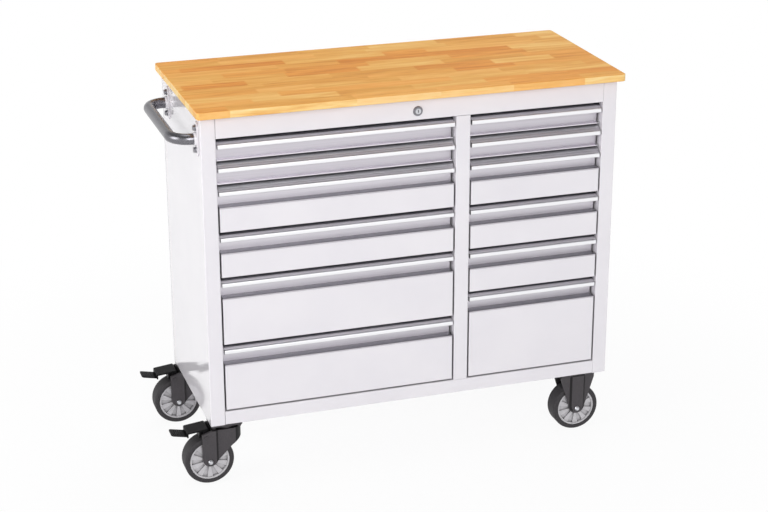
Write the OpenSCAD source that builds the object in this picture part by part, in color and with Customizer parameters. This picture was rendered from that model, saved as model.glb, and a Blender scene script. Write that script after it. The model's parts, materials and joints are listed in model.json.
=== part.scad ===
// Mobile workbench tool cabinet: a sheet-steel body with two banks of drawers,
// a wooden worktop, a push handle on one side, a central lock and four casters.
// Millimetres. X runs along the front, Y from the front to the back, Z up from the floor.

/* [Body] */
// Width of the steel body
body_w = 1060; // [980:5:1300]
// Depth of the steel body
body_d = 428; // [400:2:560]
// Thickness of the sheet steel
sheet = 1.2; // [1:0.1:1.6]
// Outer radius of the sheets' bends
bend_r = 2.5; // [1.8:0.1:4]
// Width of the stile at each side
side_stile = 36.5; // [34:0.5:60]
// Width of the stile between the two banks
centre_stile = 37; // [36:1:60]
// Height of the rail over the drawers
top_rail_h = 56.5; // [50:0.5:80]
// Height of the rail under the drawers
bottom_rail_h = 35.5; // [34:0.5:60]
// How far the edges of the sheets turn in
turn_in = 19; // [16:1:24]
// Width of the uprights that carry the runners
upright_w = 40; // [30:1:50]

/* [Worktop] */
// Thickness of the worktop
worktop_t = 18; // [16:1:38]
// Overhang of the worktop at each side
worktop_side = 12; // [4:1:30]
// Overhang of the worktop at the front and at the back
worktop_front = 26; // [10:1:40]
// Radius of the worktop's corners
worktop_corner = 9; // [2:1:20]

/* [Drawers] */
// Width of the opening of the left bank
left_bank_w = 599; // [520:1:640]
// Height of a thin row
thin_row = 58.5; // [54:0.5:64]
// Height of a medium row
medium_row = 116; // [100:1:140]
// Height of a deep row
deep_row = 174.5; // [150:0.5:190]
// Gap round each drawer front
front_gap = 4; // [2:0.5:5]
// Room between a tray's walls and the row above it
headroom = 12; // [10:0.5:14]
// Room between the trays and the back panel
tray_back_room = 18; // [10:1:40]

/* [Pulls] */
// Height of a pull
pull_h = 52; // [48:0.5:54]
// Depth of the finger recess
recess_d = 27; // [22:1:32]
// Height of the blunt nose
nose_h = 11.5; // [9:0.5:13]
// Height of the open mouth under the nose
mouth_h = 29.5; // [26:0.5:33]
// Wall of the extrusion
pull_wall = 2; // [1.5:0.1:2.5]

/* [Runners] */
// Height of a runner
runner_h = 35; // [28:1:36]
// Room for a runner at each side of a tray
runner_room = 13; // [12:0.5:16]
// Wall of the runner's channels
runner_wall = 1.5; // [1.2:0.1:1.8]
// Clearance between the two channels
slide_gap = 0.3; // [0.2:0.05:0.5]

/* [Handle] */
// Outer diameter of the handle's tube
handle_d = 27; // [22:1:32]
// Wall of the handle's tube
handle_wall = 2; // [1.5:0.1:3]
// Distance between the handle's two legs
handle_span = 324; // [220:2:340]
// Distance from the body's side to the centre of the grip
handle_reach = 57; // [55:1:90]
// Radius of the handle's bends, at the tube's centre
handle_bend = 45; // [30:1:46]
// Height of the handle below the top of the body
handle_drop = 60; // [52:1:120]
// Offset of the handle towards the front
handle_forward = 20; // [0:1:30]
// Thickness of the handle's end plates
handle_plate_t = 4; // [3:0.5:6]
// Distance between the two bolts of an end plate
handle_bolt_pitch = 54; // [48:1:70]

/* [Lock] */
// Offset of the lock to the right of the middle
lock_x = 6; // [-40:1:40]
// Height of the lock over the drawers
lock_up = 22.5; // [16:0.5:28]
// Diameter of the lock's bezel
bezel_d = 25; // [22:1:28]
// Diameter of the lock's barrel
barrel_d = 19; // [17:0.5:20]
// Diameter of the plug that the key turns
plug_d = 14; // [12:0.5:15]
// Travel of the lock's bars
lock_throw = 7; // [6:0.5:8]

/* [Casters] */
// Diameter of the wheels
wheel_d = 125; // [110:1:150]
// Height of the casters over their wheels
caster_over = 33; // [30:1:50]
// Width of the wheels
wheel_w = 46; // [30:1:50]
// Diameter of the wheels' cores
core_d = 100; // [90:1:106]
// Distance from the body's front or back to a caster's centre
caster_in = 30; // [26:1:60]
// Distance from the body's side to a swivel caster's pivot
swivel_in = 40; // [40:1:80]
// Distance from the body's side to a rigid caster's axle
rigid_in = 77; // [50:1:120]
// Offset of a swivel caster's axle from its pivot
trail = 45; // [38:1:48]
// Reach of a brake pedal from the swivel's pivot
pedal_reach = 138; // [125:1:150]
// Thickness of a caster's top plate
plate_t = 4; // [3:0.5:5]
// Thickness of the forks
fork_t = 3; // [2.5:0.5:4]
// Diameter of the axles
axle_d = 10; // [8:0.5:12]
// Diameter of the bolts
bolt_d = 8; // [6:0.5:8]

/* [Hidden] */
$fn = 64;
// Radial clearance of a shaft that turns
run_fit = 0.08;
// Clearance of parts that pass or seat
fit = 0.3;

front_y = -body_d / 2;
back_y = body_d / 2;
side_x = body_w / 2;
bank_edge = side_x - side_stile;
row_total = 2 * (thin_row + medium_row + deep_row);
opening_h = row_total + front_gap;
body_h = bottom_rail_h + opening_h + top_rail_h;
caster_h = wheel_d + caster_over;
body_z = caster_h;
body_top = body_z + body_h;
opening_z = body_z + bottom_rail_h;
opening_top = opening_z + opening_h;
divider_x = -bank_edge + left_bank_w + centre_stile / 2;

// Rows from the top down; the right bank ends in one tall row
bank_rows = [
    [thin_row, thin_row, medium_row, medium_row, deep_row, deep_row],
    [thin_row, thin_row, medium_row, medium_row, medium_row, 2 * deep_row - medium_row]
];
bank_names = ["left", "right"];
row_count = len(bank_rows[0]);

// The two walls that carry a bank's runners
bank_x = [
    [-bank_edge, divider_x - centre_stile / 2],
    [divider_x + centre_stile / 2, bank_edge]
];

// How far the hood dips into the nose, the nose's edge radius and the lip under a thin row's recess
crease = 0.8;
nose_edge = nose_h / 4;
lip_out = 0.45 * recess_d;
tray_lift = 3;
tray_y = front_y + recess_d + pull_wall;
tray_end = back_y - sheet - tray_back_room;
runner_in = 15;
runner_y = tray_y + runner_in;
runner_end = tray_end - runner_in;
upright_in = 20;
runner_lift = 1;
runner_lap = 2;
jamb_d = recess_d + pull_wall + 3;

// Lock strip, cross bar and the ears that the strip's hooks hold
strip_t = 3;
strip_w = 24;
strip_y = tray_y + sheet + 1;
ear_y = strip_y + strip_t + 3;
bar_y = strip_y + strip_t + fit;
bar_h = lock_up + 6;
hook_h = 6;
hook_out = 6;
hook_clear = 1.5;
hook_lap = 4;
lock_z = opening_top + lock_up;
cam_r = lock_throw / sqrt(2);
cam_pin_r = 2;
strip_pin_r = 2.5;
strip_pin_z = opening_top + 17;
barrel_end = strip_y - fit;

// Casters
axle_z = wheel_d / 2;
caster_y = body_d / 2 - caster_in;
swivel_x = -side_x + swivel_in;
rigid_x = side_x - rigid_in;
wheel_room = 3;
leg_in = wheel_w / 2 + wheel_room;
leg_out = leg_in + fork_t;
plate_z = body_z - plate_t;
plate_w = 2 * leg_out + 2;
swivel_plate_l = 80;
rigid_plate_l = 97;
swivel_bolts = [64, 40];
rigid_bolts = [60, 24];
race_r = 28;
race_h = 8;
crown_z = plate_z - race_h;
kingpin_r = 6;
crown_half = 40;
leg_end_r = 19;
leg_end_up = 8;
rib_half = 21;
rib_face = 16;
rib_out = 4;
rib_y = leg_out + rib_out;
rigid_end_r = 22;
rigid_end_up = 8;
pedal_pin_x = -trail - 9;
pedal_pin_z = wheel_d + 6;
pedal_pin_r = 2.5;
pedal_hub_r = 5;
pedal_top = plate_z - 2;
core_pockets = 10;
tread_l = 38;
tread_t = 3.5;
tread_rise = 8;
tread_w = 37;
cover_t = 3.5;
cover_w = 2 * (leg_in - 1.5);

// Screws that hold the worktop
screw_r = 2;
screw_head_r = 4.5;
screw_head_h = 3;
screw_up = 12;
screw_in = 130;

// Handle
handle_z = body_top - handle_drop;
handle_plate_w = handle_d + 7;
handle_plate_end = 15;
handle_plate = [handle_plate_w, handle_bolt_pitch + 2 * handle_plate_end];
handle_legs = [for (s = [-1, 1]) s * handle_span / 2 - handle_forward];

// The middle of the whole cabinet is the origin, so the body stands off to one side
left_reach = max(pedal_reach - swivel_x, side_x + handle_reach + handle_d / 2);
right_reach = side_x + worktop_side;
frame_x = (left_reach - right_reach) / 2;

powder_white = "#e9e8ec";
aluminium_grey = "#c9c8cc";
beech = "#e0a860";
zinc = "#b9bcc0";
tube_grey = "#8b8b90";
caster_grey = "#4a484b";
moulding_black = "#1e1d1f";
core_grey = "#b4b2b5";
tyre_black = "#3c3b3d";

function row_z(b, i) =
    opening_z + front_gap + row_total
    - [for (k = 0, sum = bank_rows[b][0]; k <= i;
            k = k + 1, sum = sum + (k < row_count ? bank_rows[b][k] : 0)) sum][i];
function front_h(b, i) = bank_rows[b][i] - front_gap;
function tray_z(b, i) = row_z(b, i) + tray_lift;
function ear_top(b, i) = tray_z(b, i) + thin_row - headroom;
function hook_z(b, i) = ear_top(b, i) + hook_clear;
function has_front(b, i) = bank_rows[b][i] > thin_row;

caster_names = ["left_front", "left_rear", "right_front", "right_rear"];

wheel_places = [for (x = [swivel_x - trail, rigid_x]) for (y = [-caster_y, caster_y]) [x, y, axle_z]];

// Moves a piece from the body's middle to the cabinet's own frame
module placed() {
    translate([frame_x, 0, 0]) children();
}

module block(low, high) {
    translate(low) cube(high - low);
}

module rect(low, high) {
    translate(low) square(high - low);
}

// Extrudes a section drawn in Y and Z along X
module along_x(x0, x1) {
    translate([x0, 0, 0]) rotate([90, 0, 90]) linear_extrude(x1 - x0) children();
}

// Extrudes a section drawn in X and Z along Y
module along_y(y0, y1) {
    translate([0, y1, 0]) rotate([90, 0, 0]) linear_extrude(y1 - y0) children();
}

module rod_y(r, y0, y1) {
    along_y(y0, y1) circle(r);
}

module rounded_rect(size, r) {
    square([size.x - 2 * r, size.y], center = true);
    square([size.x, size.y - 2 * r], center = true);
    for (x = [-1, 1], y = [-1, 1])
        translate([x * (size.x / 2 - r), y * (size.y / 2 - r)]) circle(r);
}

// Bent corner of a sheet: its legs run along +X and +Y from the corner, before the turn
module bend(corner, turn) {
    translate(corner) rotate(turn) translate([bend_r, bend_r]) intersection() {
        difference() {
            circle(bend_r);
            circle(bend_r - sheet);
        }
        rect([-bend_r, -bend_r], [0, 0]);
    }
}

// Rectangle with two corners rounded on its low edge
module eased_front(low, high) {
    rect([low.x + bend_r, low.y], [high.x - bend_r, high.y]);
    rect([low.x, low.y + bend_r], [high.x, high.y]);
    for (x = [low.x + bend_r, high.x - bend_r]) translate([x, low.y + bend_r]) circle(bend_r);
}

// Four points on a rectangle's corners
module at_corners(size) {
    for (x = [-1, 1], y = [-1, 1]) translate([x * size.x / 2, y * size.y / 2, 0]) children();
}

// Side panel, drawn for the left: stile, jamb, back return and top flange in one sheet
module side_panel() {
    translate([0, 0, body_z]) linear_extrude(body_h) {
        bend([-side_x, front_y], 0);
        bend([-bank_edge, front_y], 90);
        bend([-side_x, back_y - sheet], -90);
        rect([-side_x, front_y + bend_r], [-side_x + sheet, back_y - sheet - bend_r]);
        rect([-side_x + bend_r, front_y], [-bank_edge - bend_r, front_y + sheet]);
        rect([-side_x + bend_r, back_y - 2 * sheet], [-side_x + turn_in, back_y - sheet]);
    }
    block([-bank_edge - sheet, front_y + bend_r, body_z + sheet],
          [-bank_edge, front_y + jamb_d, body_top - sheet]);
    block([-side_x, front_y, body_top - sheet], [-side_x + turn_in, back_y - sheet, body_top]);
}

// Screws up through the top flanges of the two side panels
module at_worktop_screws() {
    for (x = [-1, 1], y = [-1, 0, 1])
        translate([x * (side_x - turn_in / 2), y * (body_d / 2 - screw_in), body_top]) children();
}

module side_panel_left() {
    color(powder_white) placed() difference() {
        side_panel();
        at_worktop_screws() translate([0, 0, -sheet - 1]) cylinder(r = screw_r + fit, h = sheet + 2);
        at_handle_bolts() along_x(-1, sheet + 1) circle(bolt_d / 2 + fit);
    }
}

module side_panel_right() {
    color(powder_white) placed() difference() {
        mirror([1, 0, 0]) side_panel();
        at_worktop_screws() translate([0, 0, -sheet - 1]) cylinder(r = screw_r + fit, h = sheet + 2);
    }
}

module back_panel() {
    color(powder_white) placed() {
        block([-side_x, back_y - sheet, body_z], [side_x, back_y, body_top]);
        block([-side_x + turn_in + fit, back_y - turn_in, body_top - sheet],
              [side_x - turn_in - fit, back_y, body_top]);
    }
}

module base_panel() {
    rail_back = front_y + jamb_d;
    color(powder_white) placed() difference() {
        union() {
            block([-side_x + sheet, front_y + bend_r + fit, body_z],
                  [side_x - sheet, back_y - 2 * sheet, body_z + sheet]);
            along_x(-bank_edge, bank_edge) {
                bend([front_y, body_z], 0);
                bend([front_y, opening_z], -90);
                bend([rail_back, opening_z], 180);
                rect([front_y + bend_r, body_z], [front_y + turn_in, body_z + sheet]);
                rect([front_y, body_z + bend_r], [front_y + sheet, opening_z - bend_r]);
                rect([front_y + bend_r, opening_z - sheet], [rail_back - bend_r, opening_z]);
                rect([rail_back - sheet, opening_z - turn_in], [rail_back, opening_z - bend_r]);
            }
        }
        block([divider_x - centre_stile / 2 - fit, front_y + sheet, opening_z - turn_in - 1],
              [divider_x + centre_stile / 2 + fit, rail_back + 1, opening_z + 1]);
        at_caster_bolts() translate([0, 0, -1]) cylinder(r = bolt_d / 2 + fit, h = plate_t + sheet + 2);
    }
}

module top_rail() {
    color(powder_white) placed() difference() {
        along_x(-bank_edge, bank_edge) {
            bend([front_y, opening_top], 0);
            bend([front_y, body_top], -90);
            rect([front_y, opening_top + bend_r], [front_y + sheet, body_top - bend_r]);
            for (z = [opening_top, body_top - sheet])
                rect([front_y + bend_r, z], [front_y + turn_in, z + sheet]);
        }
        translate([lock_x, 0, lock_z]) rod_y(barrel_d / 2 + fit, front_y - 1, front_y + sheet + 1);
    }
}

// Centre stile and the two walls behind it, with slots for the lock strip's hooks
module centre_divider() {
    left = bank_x[0][1];
    right = bank_x[1][0];
    wall_end = back_y - turn_in - 1;
    color(powder_white) placed() difference() {
        union() {
            translate([0, 0, opening_z]) linear_extrude(opening_h) {
                bend([left, front_y], 0);
                bend([right, front_y], 90);
                rect([left + bend_r, front_y], [right - bend_r, front_y + sheet]);
            }
            for (x = [left, right - sheet])
                block([x, front_y + bend_r, body_z + sheet], [x + sheet, wall_end, opening_top]);
        }
        for (b = [0, 1], i = [0:row_count - 1])
            block([b == 0 ? left - 1 : divider_x, strip_y - 1, hook_z(b, i) - lock_throw - 1],
                  [b == 0 ? divider_x : right + 1, strip_y + strip_t + 1, hook_z(b, i) + hook_h + 1]);
    }
}

// Channels that bring the runners level with the edges of the openings
module runner_uprights() {
    y_front = runner_y + upright_in;
    y_rear = runner_end - upright_in - upright_w;
    color(zinc) placed()
        for (m = [0, 1], y = [y_front, y_rear]) mirror([m, 0, 0])
            translate([0, 0, body_z + sheet]) linear_extrude(body_h - 2 * sheet) {
                rect([-bank_edge - sheet, y], [-bank_edge, y + upright_w]);
                for (w = [y, y + upright_w - sheet]) rect([-side_x + sheet, w], [-bank_edge, w + sheet]);
            }
}

// Section of a channel with its back at 0 and its open side towards +X
module channel(depth, height, wall) {
    rect([0, -height / 2], [wall, height / 2]);
    for (z = [-height / 2, height / 2 - wall]) rect([0, z], [depth, z + wall]);
}

// Places a section at one of the two walls of a bank, facing into the bank
module at_runner_wall(b, i, w) {
    translate([bank_x[b][w], tray_z(b, i) + runner_lift + runner_h / 2]) mirror([w, 0]) children();
}

module cabinet_runners() {
    depth = runner_room - runner_wall - runner_lap;
    color(zinc) placed()
        for (b = [0, 1], i = [0:row_count - 1], w = [0, 1])
            along_y(runner_y, runner_end) at_runner_wall(b, i, w) channel(depth, runner_h, runner_wall);
}

// The runner's inner channel, which is riveted to the tray
module tray_runner(b, i, w) {
    height = runner_h - 2 * runner_wall - 2 * slide_gap;
    depth = runner_room - runner_wall - runner_lap;
    along_y(runner_y, runner_end) at_runner_wall(b, i, w)
        translate([runner_room, 0]) mirror([1, 0]) channel(depth, height, runner_wall);
}

module tray(b, i) {
    x0 = bank_x[b][0] + runner_room;
    x1 = bank_x[b][1] - runner_room;
    z0 = tray_z(b, i);
    z1 = z0 + bank_rows[b][i] - headroom;
    color(powder_white) placed() {
        difference() {
            block([x0, tray_y, z0], [x1, tray_end, z1]);
            block([x0 + sheet, tray_y + sheet, z0 + sheet], [x1 - sheet, tray_end - sheet, z1 + 1]);
        }
        if (has_front(b, i)) drawer_front(b, i);
        lock_ear(b, i, b == 0 ? x1 : x0);
        for (w = [0, 1]) tray_runner(b, i, w);
    }
}

// Folded pan that closes the front below the pull
module drawer_front(b, i) {
    low = [bank_x[b][0] + front_gap, front_y, row_z(b, i)];
    high = [bank_x[b][1] - front_gap, tray_y + sheet, row_z(b, i) + front_h(b, i) - pull_h];
    wall = [sheet, sheet, sheet];
    difference() {
        intersection() {
            translate([0, 0, low.z]) linear_extrude(high.z - low.z)
                eased_front([low.x, low.y], [high.x, high.y]);
            along_x(low.x, high.x) mirror([1, -1]) eased_front([low.z, low.y], [high.z, high.y]);
        }
        block(low + wall, [high.x - sheet, high.y + 1, high.z - sheet]);
    }
}

// Ear on the tray's side that a hook of the lock strip holds
module lock_ear(b, i, x) {
    reach = runner_room - hook_out + hook_lap;
    out = b == 0 ? reach : -reach;
    block([min(x, x + out), ear_y, tray_z(b, i) + runner_lift + runner_h + runner_lift],
          [max(x, x + out), ear_y + sheet, ear_top(b, i)]);
}

// Extrusion with a blunt hollow nose over a finger recess, drawn from its lower edge
// The ledge closes the recess over a front; without one the back wall runs on down to a short lip
module pull_section(ledge, tail) {
    run = recess_d - nose_h / 2;
    fall = pull_h - mouth_h - nose_h + crease;
    hood_r = (run * run + fall * fall) / (2 * fall);
    hood_z = pull_h - hood_r;
    rect([recess_d, -tail], [recess_d + pull_wall, pull_h]);
    intersection() {
        translate([recess_d, hood_z]) difference() {
            circle(hood_r, $fn = 128);
            circle(hood_r - pull_wall, $fn = 128);
        }
        polygon([[recess_d, hood_z], [recess_d, hood_z + 2 * hood_r],
                 [recess_d - 2 * run, hood_z + 2 * (hood_r - fall)]]);
    }
    translate([nose_h / 2, mouth_h + nose_h / 2]) difference() {
        rounded_rect([nose_h, nose_h], nose_edge);
        square(nose_h - 2 * pull_wall, center = true);
    }
    if (ledge) rect([0, 0], [recess_d, pull_wall]);
    else rect([recess_d - lip_out, -tail], [recess_d, pull_wall - tail]);
}

module pull(b, i) {
    color(aluminium_grey) placed()
        along_x(bank_x[b][0] + front_gap, bank_x[b][1] - front_gap)
            translate([front_y, row_z(b, i) + front_h(b, i) - pull_h])
                pull_section(has_front(b, i), has_front(b, i) ? 0 : front_h(b, i) - pull_h);
}

module worktop() {
    color(beech) placed() difference() {
        translate([0, 0, body_top]) linear_extrude(worktop_t)
            rounded_rect([body_w + 2 * worktop_side, body_d + 2 * worktop_front], worktop_corner);
        at_worktop_screws() translate([0, 0, -1]) cylinder(r = screw_r + run_fit, h = screw_up + 2);
    }
}

module worktop_screws() {
    color(zinc) placed() at_worktop_screws() translate([0, 0, -sheet]) {
        cylinder(r = screw_r, h = sheet + screw_up);
        translate([0, 0, -screw_head_h])
            cylinder(r1 = screw_head_r - 1, r2 = screw_head_r, h = screw_head_h);
    }
}

// Bolt with a flanged hexagon head on its far end from +Z
module flange_bolt(through) {
    cylinder(r = bolt_d / 2, h = through + bolt_d);
    translate([0, 0, -1.5]) cylinder(r = bolt_d * 0.95, h = 1.5);
    translate([0, 0, -1.5 - bolt_d * 0.6]) cylinder(d = bolt_d * 1.65, h = bolt_d * 0.6, $fn = 6);
}

module at_handle_legs() {
    for (y = handle_legs) translate([-side_x, y, handle_z]) children();
}

module at_handle_bolts() {
    at_handle_legs() for (s = [-1, 1]) translate([0, 0, s * handle_bolt_pitch / 2]) children();
}

// Bent tube: a grip, two bends and two legs that end on the plates
module handle_tube() {
    grip_x = -side_x - handle_reach;
    bend_x = grip_x + handle_bend;
    color(tube_grey) placed() translate([0, 0, handle_z]) {
        for (k = [0, 1]) {
            y = handle_legs[k];
            s = k == 0 ? 1 : -1;
            translate([bend_x, y + s * handle_bend, 0]) rotate([0, 0, k == 0 ? 180 : 90])
                rotate_extrude(angle = 90) translate([handle_bend, 0]) tube_section();
            translate([0, y, 0]) along_x(bend_x, -side_x - handle_plate_t) tube_section();
        }
        translate([grip_x, 0, 0])
            along_y(handle_legs[0] + handle_bend, handle_legs[1] - handle_bend) tube_section();
    }
}

module tube_section() {
    difference() {
        circle(handle_d / 2);
        circle(handle_d / 2 - handle_wall);
    }
}

// End plates with a collar round each leg
module handle_plates() {
    collar_h = 6;
    collar_wall = 3;
    color(powder_white) placed() difference() {
        at_handle_legs() {
            along_x(-handle_plate_t, 0) rounded_rect(handle_plate, handle_plate.x / 2 - 0.5);
            along_x(-handle_plate_t - collar_h, -handle_plate_t) difference() {
                circle(handle_d / 2 + collar_wall);
                circle(handle_d / 2 + run_fit);
            }
        }
        at_handle_bolts() along_x(-handle_plate_t - 1, 1) circle(bolt_d / 2 + fit);
    }
}

module at_caster_bolts() {
    for (y = [-caster_y, caster_y]) {
        translate([swivel_x, y, plate_z]) at_corners(swivel_bolts) children();
        translate([rigid_x, y, plate_z]) at_corners(rigid_bolts) children();
    }
}

module flange_bolts() {
    color(caster_grey) placed() {
        at_caster_bolts() flange_bolt(plate_t + sheet);
        at_handle_bolts() translate([-handle_plate_t, 0, 0]) rotate([0, 90, 0])
            flange_bolt(handle_plate_t + sheet);
    }
}

module at_lock() {
    translate([lock_x, 0, lock_z]) children();
}

bezel_h = 3;

module lock_housing() {
    color(zinc) placed() at_lock() difference() {
        union() {
            translate([0, front_y, 0]) rotate([90, 0, 0])
                cylinder(r1 = bezel_d / 2, r2 = bezel_d / 2 - 1.5, h = bezel_h);
            rod_y(barrel_d / 2, front_y, barrel_end);
            translate([0, front_y + sheet + 4, 0]) rotate([90, 0, 0])
                cylinder(d = barrel_d + 10, h = 4, $fn = 6);
        }
        rod_y(plug_d / 2 + run_fit, front_y - bezel_h - 1, barrel_end + 1);
    }
}

module lock_plug() {
    color(zinc) placed() at_lock() difference() {
        rod_y(plug_d / 2, front_y - bezel_h - 0.5, barrel_end + fit);
        block([-1, front_y - bezel_h - 1, -plug_d / 4], [1, front_y + 8, plug_d / 4]);
    }
}

// Disc on the plug's tail with the pin that moves the cross bar
module lock_cam() {
    color(zinc) placed() at_lock() {
        rod_y(plug_d / 2 + 1, barrel_end + fit, barrel_end + fit + strip_t - 0.4);
        translate([-cam_r / sqrt(2), 0, -cam_r / sqrt(2)])
            rod_y(cam_pin_r, barrel_end + fit, bar_y + strip_t + 1);
    }
}

// Bar behind the top rail: the cam moves it along X, its sloping slot moves the strip
module lock_cross_bar() {
    cam_slot = cam_pin_r + fit + 0.25;
    strip_slot = strip_pin_r + fit;
    color(zinc) placed() difference() {
        block([lock_x - 16, bar_y, opening_top + fit],
              [divider_x + 14, bar_y + strip_t, opening_top + fit + bar_h]);
        translate([lock_x - cam_r / sqrt(2), 0, lock_z - cam_r]) along_y(bar_y - 1, bar_y + strip_t + 1) {
            rect([-cam_slot, -1], [cam_slot, cam_r]);
            for (z = [-1, cam_r]) translate([0, z]) circle(cam_slot);
        }
        translate([divider_x, 0, strip_pin_z]) along_y(bar_y - 1, bar_y + strip_t + 1) {
            rotate(45) rect([-lock_throw * sqrt(2), -strip_slot], [0, strip_slot]);
            for (k = [0, 1]) translate([-k * lock_throw, -k * lock_throw]) circle(strip_slot);
        }
    }
}

// Upright strip inside the divider, with a hook for each drawer
module lock_strip() {
    low = min([for (b = [0, 1]) hook_z(b, row_count - 1)]) - 20;
    color(zinc) placed() {
        block([divider_x - strip_w / 2, strip_y, low],
              [divider_x + strip_w / 2, strip_y + strip_t, strip_pin_z + 6]);
        for (b = [0, 1], i = [0:row_count - 1])
            block([b == 0 ? bank_x[0][1] - hook_out : divider_x, strip_y, hook_z(b, i)],
                  [b == 0 ? divider_x : bank_x[1][0] + hook_out, strip_y + strip_t, hook_z(b, i) + hook_h]);
        translate([divider_x, 0, strip_pin_z]) rod_y(strip_pin_r, strip_y, bar_y + strip_t + 1);
    }
}

// Fixed half of a swivel caster: top plate, upper race and the riveted pivot
module swivel_plates() {
    head_z = crown_z - fork_t - fit;
    color(caster_grey) placed()
        for (y = [-caster_y, caster_y]) translate([swivel_x, y, 0]) difference() {
            union() {
                translate([0, 0, plate_z]) linear_extrude(plate_t)
                    rounded_rect([swivel_plate_l, plate_w], 6);
                translate([0, 0, plate_z - race_h / 2 + fit]) cylinder(r = race_r, h = race_h / 2 - fit);
                translate([0, 0, head_z]) cylinder(r = kingpin_r, h = plate_z - head_z);
                translate([0, 0, head_z - 5]) cylinder(r1 = kingpin_r + 2, r2 = kingpin_r + 4, h = 5);
            }
            translate([0, 0, plate_z]) at_corners(swivel_bolts)
                translate([0, 0, -1]) cylinder(r = bolt_d / 2 + fit, h = plate_t + 2);
        }
}

// Outline of a swivel fork's leg, in X and Z from the pivot
module swivel_leg() {
    c = leg_end_r / sqrt(2);
    end_z = axle_z + leg_end_up;
    knee = 12;
    translate([-trail, end_z]) circle(leg_end_r);
    polygon([[-trail - leg_end_r, end_z], [-trail - leg_end_r, pedal_pin_z + 8],
             [-crown_half, crown_z], [crown_half, crown_z], [crown_half, crown_z - 28],
             [knee, end_z - 2 * c + knee + trail], [-trail + c, end_z - c]]);
}

// Plan of the yoke: two legs joined by a round back
module yoke_plan(half) {
    round_x = crown_half - leg_out;
    rect([-trail - leg_end_r, -half], [round_x, half]);
    translate([round_x, 0]) circle(half);
}

module swivel_fork(y) {
    color(caster_grey) placed() translate([swivel_x, y, 0]) difference() {
        union() {
            intersection() {
                along_y(-leg_out, leg_out) swivel_leg();
                linear_extrude(crown_z) difference() {
                    yoke_plan(leg_out);
                    yoke_plan(leg_in);
                }
            }
            translate([0, 0, crown_z - fork_t]) linear_extrude(fork_t) intersection() {
                yoke_plan(leg_out);
                rect([-crown_half, -leg_out], [crown_half, leg_out]);
            }
            translate([0, 0, crown_z]) cylinder(r1 = race_r - 2, r2 = race_r, h = race_h / 2);
            for (m = [0, 1]) mirror([0, m, 0]) intersection() {
                along_y(leg_out - 1, rib_y) swivel_leg();
                translate([-trail, leg_out, 0]) linear_extrude(crown_z) polygon([
                    [-leg_end_r - 1, -1], [-leg_end_r - 1, rib_out], [rib_face, rib_out],
                    [rib_half, 0], [rib_half, -1]]);
            }
        }
        translate([0, 0, crown_z - fork_t - 1]) cylinder(r = kingpin_r + run_fit, h = race_h + fork_t + 2);
        translate([-trail, 0, axle_z]) rod_y(axle_d / 2 + run_fit, -rib_y - 1, rib_y + 1);
        translate([pedal_pin_x, 0, pedal_pin_z]) rod_y(pedal_pin_r + run_fit, -rib_y - 1, rib_y + 1);
    }
}

// Axle bolt with a domed head and a nut, across legs whose outer faces are at +-half
module axle_bolt(half) {
    rod_y(axle_d / 2, -half, half + axle_d * 0.6);
    translate([0, -half, 0]) rotate([90, 0, 0])
        cylinder(r1 = axle_d * 0.65, r2 = axle_d * 0.45, h = axle_d * 0.35);
    translate([0, half + axle_d * 0.45, 0]) rotate([90, 0, 0])
        cylinder(d = axle_d * 1.8, h = axle_d * 0.45, $fn = 6);
}

// A fork's axle bolt and the pin that its brake pedal turns on
module fork_pins(y) {
    color(zinc) placed() translate([swivel_x, y, 0]) {
        translate([-trail, 0, axle_z]) axle_bolt(rib_y);
        translate([pedal_pin_x, 0, pedal_pin_z]) {
            rod_y(pedal_pin_r, -rib_y - 1, rib_y + 1);
            for (s = [-1, 1]) rod_y(pedal_pin_r + 1.5, min(s * rib_y, s * (rib_y + 1.5)),
                                    max(s * rib_y, s * (rib_y + 1.5)));
        }
    }
}

// Brake pedal: a hub between the legs, a thin cover that slopes up over it, a raised tread and the shoe
module brake_pedal(y) {
    hub_half = leg_in - fit;
    cover_half = cover_w / 2;
    cover_in = -trail - 2;
    cover_z = pedal_pin_z + 15.5;
    arm_z = pedal_top - cover_t;
    shoe_x = -trail - leg_end_r - 4;
    shoe_half = 15;
    block_x = -pedal_reach + tread_l;
    tread_half = tread_w / 2;
    tread_z = pedal_pin_z + 2.5;
    color(moulding_black) placed() translate([swivel_x, y, 0]) difference() {
        union() {
            along_y(-hub_half, hub_half) {
                translate([pedal_pin_x, pedal_pin_z]) circle(pedal_hub_r);
                rect([pedal_pin_x - pedal_hub_r, pedal_pin_z], [pedal_pin_x + pedal_hub_r, arm_z]);
            }
            along_y(-cover_half, cover_half) polygon([
                [cover_in, pedal_top - cover_t - 1], [cover_in, pedal_top - 1], [cover_in - 3, pedal_top],
                [block_x + 2, cover_z], [block_x, cover_z - 2], [block_x, tread_z],
                [block_x + cover_t, tread_z], [block_x + cover_t, cover_z - cover_t]]);
            intersection() {
                along_y(-tread_half, tread_half) polygon([
                    [-pedal_reach, tread_z + tread_rise], [-pedal_reach, tread_z + tread_rise + tread_t],
                    [block_x + 1, tread_z + tread_t], [block_x + 1, tread_z]]);
                translate([0, 0, tread_z]) linear_extrude(tread_rise + tread_t + 1)
                    translate([-pedal_reach + tread_l, 0]) rounded_rect([2 * tread_l, tread_w], 6);
            }
            along_y(-shoe_half, shoe_half)
                rect([shoe_x, pedal_pin_z - pedal_hub_r], [pedal_pin_x, arm_z]);
        }
        translate([pedal_pin_x, 0, pedal_pin_z]) rod_y(pedal_pin_r + run_fit, -leg_in, leg_in);
    }
}

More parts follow.
